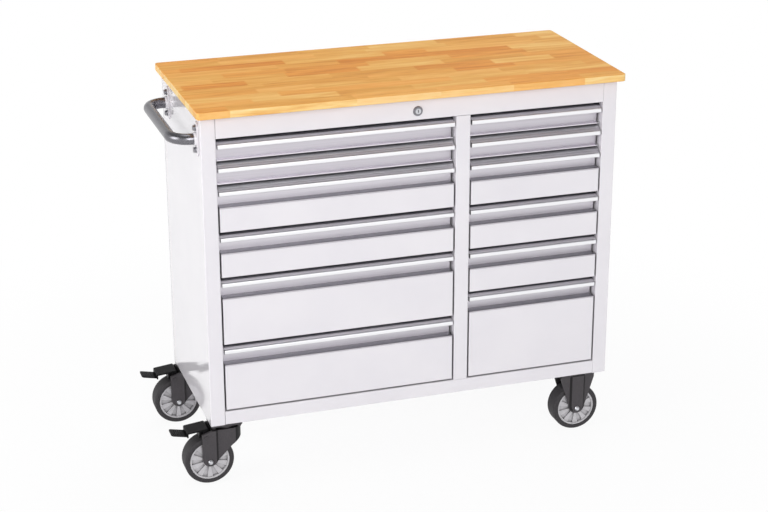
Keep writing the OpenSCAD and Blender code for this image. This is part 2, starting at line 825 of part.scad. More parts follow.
// Fixed caster: top plate and two legs with a raised rib down each
module rigid_forks() {
    end_z = axle_z + rigid_end_up;
    rib_end = end_z + rigid_end_r - rib_half;
    color(caster_grey) placed()
        for (y = [-caster_y, caster_y]) translate([rigid_x, y, 0]) difference() {
            union() {
                translate([0, 0, plate_z]) linear_extrude(plate_t) rounded_rect([rigid_plate_l, plate_w], 6);
                for (m = [0, 1]) mirror([0, m, 0]) {
                    along_y(leg_in, leg_out) {
                        polygon([[-rigid_plate_l / 2 + 2, plate_z + 1], [rigid_plate_l / 2 - 2, plate_z + 1],
                                 [rigid_plate_l / 2 - 2, plate_z - 6], [rigid_end_r, end_z],
                                 [-rigid_end_r, end_z], [-rigid_plate_l / 2 + 2, plate_z - 6]]);
                        translate([0, end_z]) circle(rigid_end_r);
                    }
                    translate([0, leg_out, rib_end]) {
                        linear_extrude(plate_z + 1 - rib_end) polygon([
                            [-rib_half, -1], [-rib_half, 0], [-rib_face, rib_out],
                            [rib_face, rib_out], [rib_half, 0], [rib_half, -1]]);
                        rotate([-90, 0, 0]) cylinder(r1 = rib_half, r2 = rib_face, h = rib_out);
                        rod_y(rib_half, -1, 0);
                    }
                }
            }
            translate([0, 0, axle_z]) rod_y(axle_d / 2 + run_fit, -plate_w, plate_w);
            translate([0, 0, plate_z]) at_corners(rigid_bolts)
                translate([0, 0, -1]) cylinder(r = bolt_d / 2 + fit, h = plate_t + 2);
        }
}

module rigid_axles() {
    color(zinc) placed()
        for (y = [-caster_y, caster_y]) translate([rigid_x, y, axle_z]) axle_bolt(rib_y);
}

// Moulded core: a hub, and a disc with wedge-shaped pockets in both faces
module wheel_core(place) {
    hub_r = axle_d / 2 + 9;
    disc_w = wheel_w - 6;
    pocket_in = hub_r + 3;
    pocket_out = core_d / 2 - 5;
    pocket_d = 4;
    half_angle = 180 / core_pockets * 0.5;
    color(core_grey) placed() translate(place) difference() {
        union() {
            rod_y(hub_r, -leg_in + fit, leg_in - fit);
            rod_y(core_d / 2 - 3, -disc_w / 2, disc_w / 2);
            along_y(-wheel_w / 2 + 1, wheel_w / 2 - 1) difference() {
                circle(core_d / 2, $fn = 128);
                circle(core_d / 2 - 4, $fn = 128);
            }
        }
        for (k = [0:core_pockets - 1], m = [0, 1]) mirror([0, m, 0]) rotate([0, k * 360 / core_pockets, 0])
            along_y(disc_w / 2 - pocket_d, disc_w / 2 + 1) polygon([
                [pocket_in, -pocket_in * tan(half_angle)], [pocket_out, -pocket_out * tan(half_angle)],
                [pocket_out, pocket_out * tan(half_angle)], [pocket_in, pocket_in * tan(half_angle)]]);
        rod_y(axle_d / 2 + run_fit, -leg_in, leg_in);
    }
}

// Tyre with rounded shoulders
module tyre(place) {
    seat_r = core_d / 2 + run_fit;
    shoulder = min(5.5, (wheel_d / 2 - seat_r) / 2);
    color(tyre_black) placed() translate(place) rotate([90, 0, 0]) rotate_extrude($fn = 128) {
        rect([seat_r, -wheel_w / 2], [wheel_d / 2 - shoulder, wheel_w / 2]);
        rect([seat_r, -wheel_w / 2 + shoulder], [wheel_d / 2, wheel_w / 2 - shoulder]);
        for (s = [-1, 1]) translate([wheel_d / 2 - shoulder, s * (wheel_w / 2 - shoulder)]) circle(shoulder);
    }
}

side_panel_left();
side_panel_right();
back_panel();
base_panel();
top_rail();
centre_divider();
runner_uprights();
cabinet_runners();
worktop();
worktop_screws();
handle_tube();
handle_plates();
flange_bolts();
lock_housing();
lock_plug();
lock_cam();
lock_cross_bar();
lock_strip();
swivel_plates();
rigid_forks();
rigid_axles();
swivel_fork(-caster_y);  // swivel_fork_front
swivel_fork(caster_y);  // swivel_fork_rear
fork_pins(-caster_y);  // fork_pins_front
fork_pins(caster_y);  // fork_pins_rear
brake_pedal(-caster_y);  // brake_pedal_front
brake_pedal(caster_y);  // brake_pedal_rear
for (k = [0:len(caster_names) - 1]) {
    wheel_core(wheel_places[k]);
    tyre(wheel_places[k]);
}
for (b = [0, 1], i = [0:row_count - 1]) {
    tray(b, i);
    pull(b, i);
}
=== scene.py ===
import json
import math

import bmesh
import bpy
from mathutils import Matrix, Vector
from mathutils.bvhtree import BVHTree


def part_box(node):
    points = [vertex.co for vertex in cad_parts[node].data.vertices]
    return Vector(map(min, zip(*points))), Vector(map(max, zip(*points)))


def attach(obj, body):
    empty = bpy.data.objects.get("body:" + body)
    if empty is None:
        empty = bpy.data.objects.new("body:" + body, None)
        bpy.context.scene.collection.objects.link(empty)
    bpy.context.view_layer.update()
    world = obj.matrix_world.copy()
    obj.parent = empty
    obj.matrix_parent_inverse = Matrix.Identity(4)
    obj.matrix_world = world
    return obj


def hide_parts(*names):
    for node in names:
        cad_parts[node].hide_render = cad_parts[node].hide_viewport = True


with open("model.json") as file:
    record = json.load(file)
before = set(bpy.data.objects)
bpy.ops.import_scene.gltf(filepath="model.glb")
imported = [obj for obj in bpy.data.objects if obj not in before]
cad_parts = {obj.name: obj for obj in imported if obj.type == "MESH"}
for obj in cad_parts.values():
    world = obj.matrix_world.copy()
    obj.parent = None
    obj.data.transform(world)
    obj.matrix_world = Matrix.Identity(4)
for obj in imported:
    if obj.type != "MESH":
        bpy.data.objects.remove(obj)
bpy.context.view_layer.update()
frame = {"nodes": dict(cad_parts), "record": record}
nodes = frame["nodes"]
scene = bpy.context.scene
mm = 0.001


def hexColor(code):
    channels = [int(code[k:k + 2], 16) / 255 for k in (1, 3, 5)]
    return [c / 12.92 if c <= 0.04045 else ((c + 0.055) / 1.055) ** 2.4 for c in channels] + [1.0]


def addNode(tree, kind, values=None, stops=(), **settings):
    node = tree.nodes.new(kind)
    for name, value in settings.items():
        setattr(node, name, value)
    for name, value in (values or {}).items():
        if isinstance(value, bpy.types.NodeSocket):
            tree.links.new(value, node.inputs[name])
        else:
            node.inputs[name].default_value = value
    if stops:
        elements = node.color_ramp.elements
        while len(elements) < len(stops):
            elements.new(1.0)
        for element, (share, code) in zip(elements, stops):
            element.position = share
            element.color = hexColor(code)
    return node


def startMaterial(name, settings):
    material = bpy.data.materials.new(name)
    material.use_nodes = True
    tree = material.node_tree
    shader = tree.nodes["Principled BSDF"]
    for key, value in settings.items():
        shader.inputs[key].default_value = value
    place = addNode(tree, "ShaderNodeTexCoord").outputs["Object"]
    return material, tree, shader, place


# Painted shade in corners and gaps: the tone is multiplied down where other surfaces stand within reach
cornerShade = {"samples": 8, "closedAt": 0.2, "openFrom": 0.8}


def shadeCorners(tree, shader, tone, reachMm, depth, openFrom=cornerShade["openFrom"]):
    nearby = addNode(tree, "ShaderNodeAmbientOcclusion", {"Distance": reachMm * mm},
                     samples=cornerShade["samples"])
    kept = addNode(tree, "ShaderNodeMapRange", {
        "Value": nearby.outputs["AO"], "From Min": cornerShade["closedAt"], "From Max": openFrom,
        "To Min": 1.0 - depth, "To Max": 1.0})
    shaded = addNode(tree, "ShaderNodeVectorMath", {
        0: tone, "Scale": kept.outputs["Result"]}, operation="SCALE")
    tree.links.new(shaded.outputs["Vector"], shader.inputs["Base Color"])


# One pattern gives a finish both its uneven gloss and its bumps
def setSurface(tree, shader, pattern, look):
    sheen = addNode(tree, "ShaderNodeMapRange", {
        "Value": pattern, "To Min": look["rough"][0], "To Max": look["rough"][1]})
    bump = addNode(tree, "ShaderNodeBump", {
        "Height": pattern, "Strength": look["bumpShare"], "Distance": look["bumpMm"] * mm})
    tree.links.new(sheen.outputs["Result"], shader.inputs["Roughness"])
    tree.links.new(bump.outputs["Normal"], shader.inputs["Normal"])


# White powder coat, sprayed and baked: a smooth glossy skin with slight orange peel, mirroring what is near,
# with painted shade in its corners and gaps.
# Real peel is about 0.8 mm across; 2.5 mm is the finest that shows.
powderCoat = {"tones": [(0.3, "#e9e6eb"), (0.7, "#eeebef")], "cloudMm": 180, "cloudDetail": 3.0,
              "peelMm": 2.5, "peelDetail": 2.0, "peelRough": 0.45, "rough": (0.1, 0.16), "bumpShare": 0.25,
              "bumpMm": 0.006, "ior": 1.5, "coat": 0.5, "coatRough": 0.05, "cornerMm": 7, "cornerDepth": 0.5}


def makePowderCoat():
    material, tree, shader, place = startMaterial("powderCoatedSteel", {
        "IOR": powderCoat["ior"], "Coat Weight": powderCoat["coat"],
        "Coat Roughness": powderCoat["coatRough"]})
    peel = addNode(tree, "ShaderNodeTexNoise", {
        "Vector": place, "Scale": 1 / (powderCoat["peelMm"] * mm), "Detail": powderCoat["peelDetail"],
        "Roughness": powderCoat["peelRough"]})
    cloud = addNode(tree, "ShaderNodeTexNoise", {
        "Vector": place, "Scale": 1 / (powderCoat["cloudMm"] * mm), "Detail": powderCoat["cloudDetail"]})
    tone = addNode(tree, "ShaderNodeValToRGB", {"Fac": cloud.outputs["Fac"]}, powderCoat["tones"])
    shadeCorners(tree, shader, tone.outputs["Color"], powderCoat["cornerMm"], powderCoat["cornerDepth"])
    setSurface(tree, shader, peel.outputs["Fac"], powderCoat)
    return material


# Anodised aluminium extrusion: a pale metal with faint draw lines along its length, darkened by painted shade
# in its corners.
# Real lines are about 0.05 mm apart; 0.9 mm is the finest that shows.
pullMetal = {"lineMm": 0.9, "lineLengthMm": 260, "lineDetail": 3.0, "rough": (0.42, 0.52), "bumpShare": 0.15,
             "bumpMm": 0.02, "cornerMm": 14}
pullFinishes = {
    # as it comes from the bath: even and half matt
    "satinAnodisedAluminium": {"tones": [(0.25, "#c6c2c9"), (0.75, "#d3cfd6")], "cornerDepth": 0.3},
    # painted highlight and painted light: near white, on the noses and on the hood strips of rows below thin
    # ones
    "buffedAnodisedAluminium": {"tones": [(0.25, "#ebebee"), (0.75, "#f6f6f8")], "cornerDepth": 0.3},
    # painted light: paler and nearly without corner shade, on the recess walls and the thin rows' lips
    "brightAnodisedAluminium": {"tones": [(0.25, "#e2dee5"), (0.75, "#eeeaf1")], "cornerDepth": 0.05},
}


def makePullMetal(name):
    finish = pullFinishes[name]
    material, tree, shader, place = startMaterial(name, {"Metallic": 1.0})
    across = 1 / (pullMetal["lineMm"] * mm)
    stretch = addNode(tree, "ShaderNodeMapping", {
        "Vector": place, "Scale": (1 / (pullMetal["lineLengthMm"] * mm), across, across)})
    lines = addNode(tree, "ShaderNodeTexNoise", {
        "Vector": stretch.outputs["Vector"], "Scale": 1.0, "Detail": pullMetal["lineDetail"]})
    tone = addNode(tree, "ShaderNodeValToRGB", {"Fac": lines.outputs["Fac"]}, finish["tones"])
    shadeCorners(tree, shader, tone.outputs["Color"], pullMetal["cornerMm"], finish["cornerDepth"])
    setSurface(tree, shader, lines.outputs["Fac"], pullMetal)
    return material


# Metals, paints and mouldings that differ in tone, gloss and grain, each darkened by painted shade in its
# corners.
# The real grain of most is well under a millimetre; what is given is the finest that shows.
plainFinishes = {
    # plated in a zinc bath: pale, with a soft cloudy sheen
    "zincPlatedSteel": {
        "tones": [(0.3, "#bfc0c5"), (0.7, "#d6d7db")], "metallic": 1.0, "rough": (0.26, 0.42),
        "grainMm": 5.0, "bumpMm": 0.01, "cornerMm": 6, "cornerDepth": 0.4},
    # drawn and satin-polished: grey, with long smooth highlights
    "satinSteelTube": {
        "tones": [(0.3, "#757479"), (0.7, "#828186")], "metallic": 1.0, "rough": (0.24, 0.31),
        "grainMm": 2.5, "bumpMm": 0.006, "cornerMm": 30, "cornerDepth": 0.5},
    # cold-headed bolts: mid grey and dull
    "greyBoltSteel": {
        "tones": [(0.3, "#8f8e93"), (0.7, "#a09fa4")], "metallic": 1.0, "rough": (0.35, 0.5),
        "grainMm": 2.0, "bumpMm": 0.01, "cornerMm": 4, "cornerDepth": 0.3},
    # cast and tumbled: a darker grey with a soft gloss
    "dieCastZinc": {
        "tones": [(0.3, "#7d7c81"), (0.7, "#8b8a8f")], "metallic": 1.0, "rough": (0.3, 0.42),
        "grainMm": 2.0, "bumpMm": 0.01, "cornerMm": 3, "cornerDepth": 0.5},
    # the anodised metal darker and with less shine: painted shade on the ledges in the pulls' recesses
    "dullAluminium": {
        "tones": [(0.3, "#8e8d92"), (0.7, "#9b9a9f")], "metallic": 1.0, "rough": (0.45, 0.6),
        "grainMm": 3.0, "bumpMm": 0.02, "cornerMm": 10, "cornerDepth": 0.4},
    # cut ends and the backs of hoods, grey and rough as sawn, darkened further by painted shade where they
    # sit in gaps
    "sawnAluminium": {
        "tones": [(0.3, "#7c7b80"), (0.7, "#908f94")], "metallic": 1.0, "rough": (0.4, 0.6),
        "grainMm": 1.5, "bumpMm": 0.03, "cornerMm": 14, "cornerDepth": 0.76},
    # pressed and stove-painted: dark grey, half matt, with deep painted shade in its folds
    "greyPaintedSteel": {
        "tones": [(0.3, "#413e41"), (0.7, "#4b474a")], "metallic": 0.0, "rough": (0.34, 0.48),
        "grainMm": 2.0, "bumpMm": 0.04, "cornerMm": 18, "cornerDepth": 0.95, "specular": 0.3,
        "openFrom": 1.0},
    # the same paint near black: painted shade on the steep sides of the fork ribs and the swivel forks'
    # right-facing faces
    "darkPaintedSteel": {
        "tones": [(0.3, "#191819"), (0.7, "#211f21")], "metallic": 0.0, "rough": (0.4, 0.52),
        "grainMm": 2.0, "bumpMm": 0.04, "cornerMm": 9, "cornerDepth": 0.75, "specular": 0.2},
    # moulded with a fine grain from its tool: black, with little gloss
    "blackNylon": {
        "tones": [(0.3, "#0d0c0e"), (0.7, "#141315")], "metallic": 0.0, "rough": (0.36, 0.5),
        "grainMm": 1.6, "bumpMm": 0.06, "cornerMm": 6, "cornerDepth": 0.5, "specular": 0.12},
    # moulded: pale grey and slightly waxy, with painted shade between the spokes
    "greyPolypropylene": {
        "tones": [(0.3, "#c3c1c4"), (0.7, "#cfcdd0")], "metallic": 0.0, "rough": (0.42, 0.55),
        "grainMm": 2.2, "bumpMm": 0.03, "cornerMm": 9, "cornerDepth": 0.85},
    # moulded and scuffed by floors: dark grey and matt
    "greyRubber": {
        "tones": [(0.3, "#2b292b"), (0.7, "#373437")], "metallic": 0.0, "rough": (0.62, 0.8),
        "grainMm": 2.8, "bumpMm": 0.08, "cornerMm": 8, "cornerDepth": 0.5},
}
plainCommon = {"specular": 0.5, "grainDetail": 4.0, "bumpShare": 0.3, "openFrom": cornerShade["openFrom"]}


def makePlainFinish(name):
    finish = plainCommon | plainFinishes[name]
    material, tree, shader, place = startMaterial(name, {
        "Metallic": finish["metallic"], "Specular IOR Level": finish["specular"]})
    grain = addNode(tree, "ShaderNodeTexNoise", {
        "Vector": place, "Scale": 1 / (finish["grainMm"] * mm), "Detail": finish["grainDetail"]})
    tone = addNode(tree, "ShaderNodeValToRGB", {"Fac": grain.outputs["Fac"]}, finish["tones"])
    shadeCorners(tree, shader, tone.outputs["Color"], finish["cornerMm"], finish["cornerDepth"],
                 finish["openFrom"])
    setSurface(tree, shader, grain.outputs["Fac"], finish)
    return material


# Oiled beech block board: staves side by side along X, finger-jointed end to end, each with its own tone,
# with long soft figure and short darker flecks; the sawn edge has its own paler tones, which are partly
# painted light on the lit sides.
# Real flecks are about 0.5 mm wide; 4 mm is the finest that shows.
board = {"staveMm": 40, "staveLengthMm": 210, "lengthSpread": 0.9, "driftScale": 0.9, "fingerMm": 5.0,
         "fingerDepthMm": 6.0, "rowShift": 37.0, "grainShift": (3.0, 5.0, 7.0),
         "fleckMm": 4.0, "fleckLengthMm": 38, "fleckDetail": 2.0, "fleckTwist": 0.0,
         "figureMm": 15, "figureLengthMm": 170, "figureDetail": 4.0, "figureTwist": 0.6,
         "level": -0.845, "staveShare": 0.5, "figureShare": 1.6, "fleckShare": 0.6, "warmFigureShare": 0.8,
         "rough": (0.44, 0.6), "bumpShare": 0.2, "bumpMm": 0.05, "ior": 1.48, "specular": 0.18}
boardTones = {
    "oiledBeechBlockboard": {
        "tones": [(0.0, "#dc9440"), (0.35, "#eaa84f"), (0.6, "#f0b55e"), (1.0, "#f8c97a")],
        "warmTones": [(0.0, "#d8822f"), (0.4, "#ea9c43"), (0.7, "#f2aa50"), (1.0, "#f7ba66")],
        "warmFrom": 0.8, "warmTo": 1.35},
    # paler edge tones, partly painted light
    "oiledBeechEdge": {
        "tones": [(0.0, "#f0b668"), (0.35, "#fad086"), (0.6, "#fedd9c"), (1.0, "#ffeab4")],
        "warmTones": [(0.0, "#ea9a42"), (0.4, "#f6ac54"), (0.7, "#fab866"), (1.0, "#fdc77a")],
        "warmFrom": 0.95, "warmTo": 1.45},
}


# A chance value and colour for each stave: rows side by side in Y, shifted, and cut at uneven lengths along X
def pickStave(tree, place):
    axes = addNode(tree, "ShaderNodeSeparateXYZ", {"Vector": place}).outputs
    rows = addNode(tree, "ShaderNodeMath", {0: axes["Y"], 1: board["staveMm"] * mm}, operation="DIVIDE")
    row = addNode(tree, "ShaderNodeMath", {0: rows.outputs["Value"]}, operation="FLOOR").outputs["Value"]
    shift = addNode(tree, "ShaderNodeTexWhiteNoise", {"W": row}, noise_dimensions="1D")
    halfFinger = board["fingerMm"] / 2
    tooth = addNode(tree, "ShaderNodeMath", {0: axes["Y"], 1: halfFinger * mm}, operation="PINGPONG")
    toothed = addNode(tree, "ShaderNodeMath", {
        0: tooth.outputs["Value"], 1: board["fingerDepthMm"] / halfFinger, 2: axes["X"]},
        operation="MULTIPLY_ADD")
    steps = addNode(tree, "ShaderNodeMath", {
        0: toothed.outputs["Value"], 1: board["staveLengthMm"] * mm}, operation="DIVIDE")
    along = addNode(tree, "ShaderNodeMath", {
        0: shift.outputs["Value"], 1: board["rowShift"], 2: steps.outputs["Value"]},
        operation="MULTIPLY_ADD")
    drift = addNode(tree, "ShaderNodeTexNoise", {
        "W": along.outputs["Value"], "Scale": board["driftScale"], "Detail": 0.0}, noise_dimensions="1D")
    uneven = addNode(tree, "ShaderNodeMath", {
        0: drift.outputs["Fac"], 1: board["lengthSpread"], 2: along.outputs["Value"]},
        operation="MULTIPLY_ADD")
    column = addNode(tree, "ShaderNodeMath", {0: uneven.outputs["Value"]}, operation="FLOOR").outputs["Value"]
    stave = addNode(tree, "ShaderNodeCombineXYZ", {"X": row, "Y": column})
    chance = addNode(tree, "ShaderNodeTexWhiteNoise", {"Vector": stave.outputs["Vector"]},
                     noise_dimensions="2D")
    return chance.outputs


def makeBeech(name):
    tones = boardTones[name]
    material, tree, shader, place = startMaterial(name, {
        "IOR": board["ior"], "Specular IOR Level": board["specular"]})
    chance = pickStave(tree, place)
    spread = addNode(tree, "ShaderNodeVectorMath", {
        0: chance["Color"], 1: board["grainShift"]}, operation="MULTIPLY")
    moved = addNode(tree, "ShaderNodeVectorMath", {0: place, 1: spread.outputs["Vector"]}, operation="ADD")
    grain = {}
    for kind in ("fleck", "figure"):
        across = 1 / (board[kind + "Mm"] * mm)
        stretch = addNode(tree, "ShaderNodeMapping", {
            "Vector": moved.outputs["Vector"],
            "Scale": (1 / (board[kind + "LengthMm"] * mm), across, across)})
        noise = addNode(tree, "ShaderNodeTexNoise", {
            "Vector": stretch.outputs["Vector"], "Scale": 1.0, "Detail": board[kind + "Detail"],
            "Distortion": board[kind + "Twist"]})
        grain[kind] = noise.outputs["Fac"]
    level = addNode(tree, "ShaderNodeMath", {
        0: chance["Value"], 1: board["staveShare"], 2: board["level"]}, operation="MULTIPLY_ADD")
    for kind in ("figure", "fleck"):
        level = addNode(tree, "ShaderNodeMath", {
            0: grain[kind], 1: board[kind + "Share"], 2: level.outputs["Value"]}, operation="MULTIPLY_ADD")
    tone = addNode(tree, "ShaderNodeValToRGB", {"Fac": level.outputs["Value"]}, tones["tones"])
    warmTone = addNode(tree, "ShaderNodeValToRGB", {"Fac": level.outputs["Value"]}, tones["warmTones"])
    hue = addNode(tree, "ShaderNodeSeparateColor", {"Color": chance["Color"]})
    mixed = addNode(tree, "ShaderNodeMath", {
        0: grain["figure"], 1: board["warmFigureShare"], 2: hue.outputs["Green"]}, operation="MULTIPLY_ADD")
    warmth = addNode(tree, "ShaderNodeMapRange", {
        "Value": mixed.outputs["Value"], "From Min": tones["warmFrom"], "From Max": tones["warmTo"]})
    blend = addNode(tree, "ShaderNodeMix", {  # 6 and 7 are its two colours
        "Factor": warmth.outputs["Result"], 6: tone.outputs["Color"], 7: warmTone.outputs["Color"]},
        data_type="RGBA")
    tree.links.new(blend.outputs[2], shader.inputs["Base Color"])
    setSurface(tree, shader, grain["fleck"], board)
    return material


finishes = {name: makePlainFinish(name) for name in plainFinishes}
finishes.update({name: makePullMetal(name) for name in pullFinishes})
finishes.update({name: makeBeech(name) for name in boardTones})
finishes["powderCoatedSteel"] = makePowderCoat()
slotFinish = {"powder_white": "powderCoatedSteel", "aluminium": "satinAnodisedAluminium",
              "worktop_wood": "oiledBeechBlockboard", "zinc_plated": "zincPlatedSteel",
              "handle_steel": "satinSteelTube", "caster_steel": "greyPaintedSteel",
              "black_plastic": "blackNylon", "grey_plastic": "greyPolypropylene", "tyre_rubber": "greyRubber"}
for part in frame["record"]["subparts"]:
    node = nodes[part["node"]]
    node.data.materials.clear()
    node.data.materials.append(finishes[slotFinish[part["material_slot"]]])
print(len(finishes), "finishes set on", len(nodes), "nodes")


# Faces whose finish differs from the rest of their node
def paintFaces(name, finish, chosen):
    mesh = nodes[name].data
    mesh.materials.append(finishes[finish])
    for face in mesh.polygons:
        if chosen(face.center, face.normal):
            face.material_index = len(mesh.materials) - 1


# Grey bolts at the handle, the lock's ring, painted pins at the pedals, painted shade on fork rib slopes and
# swivel fork sides
fittings = {"handleAboveMm": 500, "pedalPinAboveMm": 100, "ribSlope": 0.4, "flat": 0.9}


def paintFittings():
    slope, flat = fittings["ribSlope"], fittings["flat"]
    handleAbove, pinAbove = fittings["handleAboveMm"] * mm, fittings["pedalPinAboveMm"] * mm
    paintFaces("flange_bolts", "greyBoltSteel", lambda point, normal: point.z > handleAbove)
    paintFaces("lock_housing", "dieCastZinc", lambda point, normal: True)
    paintFaces("rigid_forks", "darkPaintedSteel", lambda point, normal: slope < abs(normal.x) < flat)
    for end in ("front", "rear"):
        paintFaces("fork_pins_" + end, "greyPaintedSteel", lambda point, normal: point.z > pinAbove)
        paintFaces("swivel_fork_" + end, "darkPaintedSteel", lambda point, normal: normal.x > slope)


# Each pull: a painted highlight on its nose, painted shade on its ledge under a wall painted lighter, sawn
# ends and a strip along its hood's back both darkened by painted shade. A thin row has a lip painted lighter
# instead of the ledge; a row below a thin one gets painted light on that strip.
pullFaces = {"noseMm": 6.5, "noseDropMm": 23, "ledgeMm": 5, "wallInMm": 20, "hoodDropMm": 6, "hoodInMm": 10,
             "flat": 0.9, "upward": 0.7, "thinRows": "12", "lightRows": "23"}


def paintPull(name):
    low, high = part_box(name)
    row, flat, upward = name[-1], pullFaces["flat"], pullFaces["upward"]
    thin = row in pullFaces["thinRows"]
    nose, mouth = low.y + pullFaces["noseMm"] * mm, high.z - pullFaces["noseDropMm"] * mm
    ledge, wall = low.z + pullFaces["ledgeMm"] * mm, low.y + pullFaces["wallInMm"] * mm
    hood, back = high.z - pullFaces["hoodDropMm"] * mm, low.y + pullFaces["hoodInMm"] * mm
    paintFaces(name, "buffedAnodisedAluminium", lambda point, normal: point.y < nose and point.z > mouth)
    if thin:
        paintFaces(name, "brightAnodisedAluminium",
                   lambda point, normal: point.z < ledge and (normal.z > flat or normal.y < -flat))
    else:
        paintFaces(name, "dullAluminium", lambda point, normal: point.z < ledge and normal.z > flat)
        paintFaces(name, "brightAnodisedAluminium", lambda point, normal: normal.y < -flat and point.y > wall)
    paintFaces(name, "sawnAluminium", lambda point, normal: abs(normal.x) > flat)
    paintFaces(name, "buffedAnodisedAluminium" if row in pullFaces["lightRows"] else "sawnAluminium",
               lambda point, normal: normal.z > upward and point.z > hood and point.y > back)


paintFittings()
for name in nodes:
    if name.startswith("pull_"):
        paintPull(name)
print("faces of the fittings and pulls painted")

# Worktop board with rounded corners and eased edges
worktop = {"cornerMm": 9.0, "cornerSteps": 5, "arrisMm": 1.5, "arrisSteps": 3, "sharp": 0.6, "edgeTilt": 0.6}


def makeWorktop():
    low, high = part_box("worktop")
    mesh = bpy.data.meshes.new("worktop_board")
    build = bmesh.new()
    bmesh.ops.create_cube(build, size=1.0, matrix=Matrix.LocRotScale((low + high) / 2, None, high - low))
    uprights = [e for e in build.edges if abs(e.verts[0].co.z - e.verts[1].co.z) > mm]
    bmesh.ops.bevel(build, geom=uprights, offset=worktop["cornerMm"] * mm, segments=worktop["cornerSteps"],
                    profile=0.5, affect="EDGES")
    rims = [e for e in build.edges if e.calc_face_angle(0) > worktop["sharp"]]
    bmesh.ops.bevel(build, geom=rims, offset=worktop["arrisMm"] * mm, segments=worktop["arrisSteps"],
                    profile=0.5, affect="EDGES")
    build.to_mesh(mesh)
    build.free()
    piece = bpy.data.objects.new("worktop_board", mesh)
    scene.collection.objects.link(piece)
    mesh.materials.append(finishes["oiledBeechBlockboard"])
    mesh.materials.append(finishes["oiledBeechEdge"])
    for face in mesh.polygons:
        face.material_index = 1 if abs(face.normal.z) < worktop["edgeTilt"] else 0
    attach(piece, "cabinet")
    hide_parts("worktop")


makeWorktop()
print("worktop made")


# Rivets and ribs are grown by node trees, one plain mesh for each body
def startTree(name, inputs):
    tree = bpy.data.node_groups.new(name, "GeometryNodeTree")
    tree.interface.new_socket("Geometry", in_out="OUTPUT", socket_type="NodeSocketGeometry")
    keys = {label: tree.interface.new_socket(label, in_out="INPUT", socket_type=kind).identifier
            for label, kind in inputs.items()}
    return tree, addNode(tree, "NodeGroupInput").outputs, keys


def endTree(tree, points, shape, finish):
    placed = addNode(tree, "GeometryNodeInstanceOnPoints", {"Points": points, "Instance": shape})
    single = addNode(tree, "GeometryNodeRealizeInstances", {"Geometry": placed.outputs["Instances"]})
    painted = addNode(tree, "GeometryNodeSetMaterial", {
        "Geometry": single.outputs["Geometry"], "Material": finishes[finish]})
    addNode(tree, "NodeGroupOutput", {"Geometry": painted.outputs["Geometry"]})


def growPiece(name, tree, keys, values, body):
    piece = bpy.data.objects.new(name, bpy.data.meshes.new(name + "_seed"))
    scene.collection.objects.link(piece)
    grower = piece.modifiers.new("grower", "NODES")
    grower.node_group = tree
    for label, value in values.items():
        grower[keys[label]] = value
    grown = bpy.data.meshes.new_from_object(piece.evaluated_get(bpy.context.evaluated_depsgraph_get()))
    piece.modifiers.clear()
    piece.data = grown
    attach(piece, body)


# Domed rivets in two matching rows: up the back panel's sides and along the trays' runners
rivet = {"radiusMm": 4.0, "domeMm": 1.1, "segments": 14, "rings": 8, "backInMm": 10, "backEndMm": 30,
         "backPitchMm": 150, "trayPitchMm": 105, "trayEndMm": 32, "trayUpMm": 17, "trayWallMm": 0.6}


def makeRivetTree():
    tree, source, keys = startTree("rivetRows", {
        "First": "NodeSocketVector", "Step": "NodeSocketVector", "Count": "NodeSocketInt",
        "Across": "NodeSocketVector", "Radius": "NodeSocketFloat", "Flatten": "NodeSocketVector"})
    row = addNode(tree, "GeometryNodeMeshLine", {
        "Count": source["Count"], "Start Location": source["First"], "Offset": source["Step"]}, mode="OFFSET")
    twin = addNode(tree, "GeometryNodeTransform", {
        "Geometry": row.outputs["Mesh"], "Translation": source["Across"]})
    rows = addNode(tree, "GeometryNodeJoinGeometry", {"Geometry": row.outputs["Mesh"]})
    tree.links.new(twin.outputs["Geometry"], rows.inputs["Geometry"])
    ball = addNode(tree, "GeometryNodeMeshUVSphere", {
        "Segments": rivet["segments"], "Rings": rivet["rings"], "Radius": source["Radius"]})
    dome = addNode(tree, "GeometryNodeTransform", {
        "Geometry": ball.outputs["Mesh"], "Scale": source["Flatten"]})
    smooth = addNode(tree, "GeometryNodeSetShadeSmooth", {"Geometry": dome.outputs["Geometry"]})
    endTree(tree, rows.outputs["Geometry"], smooth.outputs["Geometry"], "powderCoatedSteel")
    return tree, keys


def makeRivets():
    tree, keys = makeRivetTree()
    thin = rivet["domeMm"] / rivet["radiusMm"]

    def growRows(name, first, last, width, pitchMm, flatten, body):
        run = Vector(last) - Vector(first)
        count = max(2, round(run.length / (pitchMm * mm)) + 1)
        growPiece(name, tree, keys, {
            "First": first, "Step": run / (count - 1), "Count": count, "Across": (width, 0, 0),
            "Radius": rivet["radiusMm"] * mm, "Flatten": flatten}, body)

    low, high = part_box("back_panel")
    side, end = rivet["backInMm"] * mm, rivet["backEndMm"] * mm
    growRows("back_rivets_upright", (low.x + side, high.y, low.z + end), (low.x + side, high.y, high.z - end),
             high.x - low.x - 2 * side, rivet["backPitchMm"], (1.0, thin, 1.0), "cabinet")
    wall, inset = rivet["trayWallMm"] * mm, rivet["trayEndMm"] * mm
    for opening in frame["record"]["physics"]["openings"]:
        if opening["name"].startswith("tray_"):
            (x0, y0, z0), (x1, y1, z1) = opening["box_m"]  # stands just clear of the tray's walls
            lift = z0 + rivet["trayUpMm"] * mm
            drawer = opening["name"].replace("tray", "drawer").replace("_inside", "")
            growRows(drawer + "_rivets", (x0 - wall, y0 + inset, lift), (x0 - wall, y1 - inset, lift),
                     x1 - x0 + 2 * wall, rivet["trayPitchMm"], (thin, 1.0, 1.0), drawer)


# Grip ribs across the brake pedals' treads
grip = {"count": 5, "tipMm": 6, "pitchMm": 5.2, "lengthMm": 27, "radiusMm": 1.3, "ringPoints": 10,
        "sunkMm": 0.4, "castFromMm": 100}


